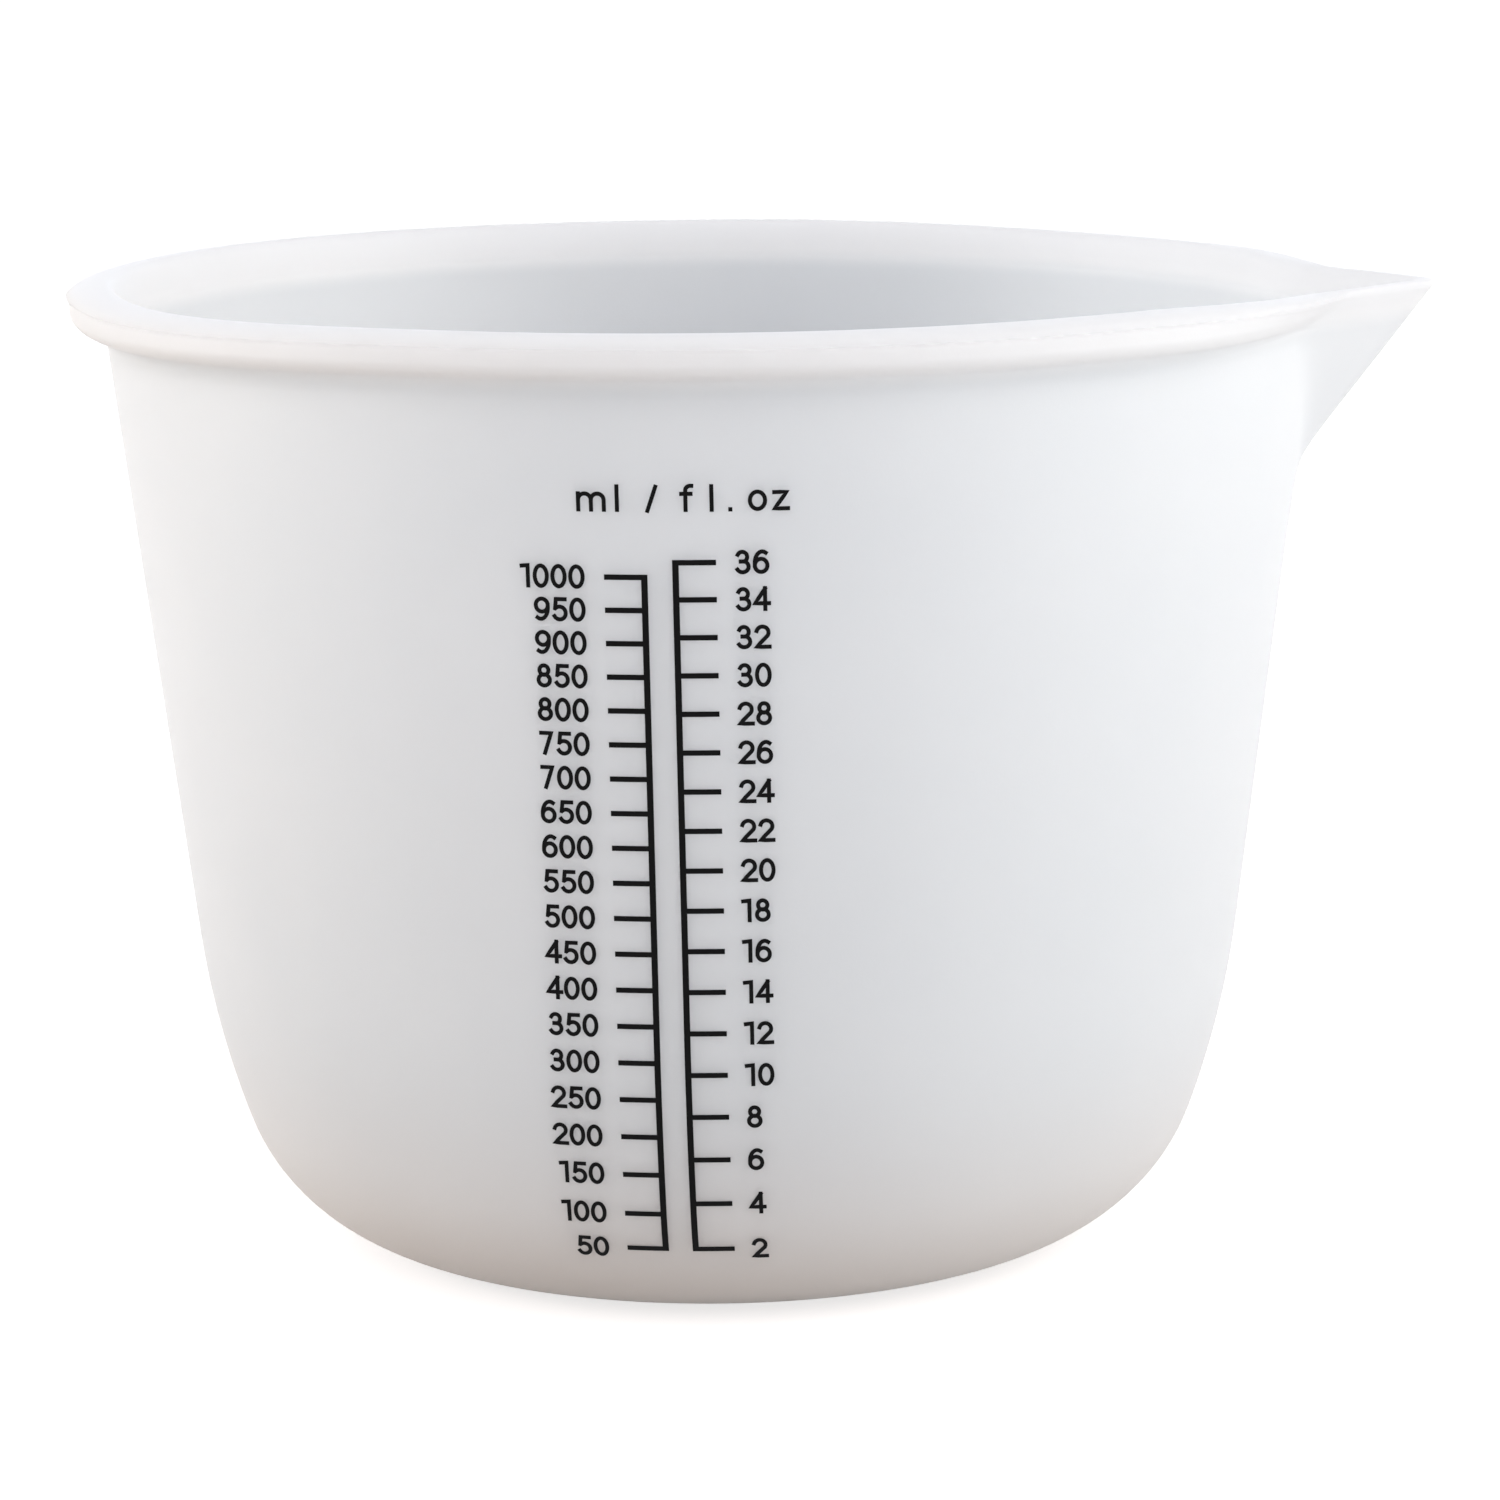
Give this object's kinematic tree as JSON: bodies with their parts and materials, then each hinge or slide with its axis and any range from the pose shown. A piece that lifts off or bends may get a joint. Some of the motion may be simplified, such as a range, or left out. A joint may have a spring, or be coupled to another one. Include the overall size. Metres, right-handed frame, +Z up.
{
  "type": "measuring cup",
  "caption": "Flexible one-litre measuring cup: round bowl with a rounded heel, rolled rim and V-shaped pouring beak, with printed millilitre and fluid ounce scales on its side.",
  "frame": {"origin": "middle of the flat face under the base, on the cup's axis", "axes": "+Z up along the cup's axis, +X towards the tip of the pouring beak, -Y through the side that carries the print"},
  "size_m": [0.1625, 0.1532, 0.117],
  "materials": {
    "silicone": "satin, translucent milky white",
    "ink": "matte, printed film"
  },
  "bodies": {
    "root": {"cup_body": "silicone", "ml_scale": "ink", "oz_scale": "ink"}
  },
  "joints": []
}
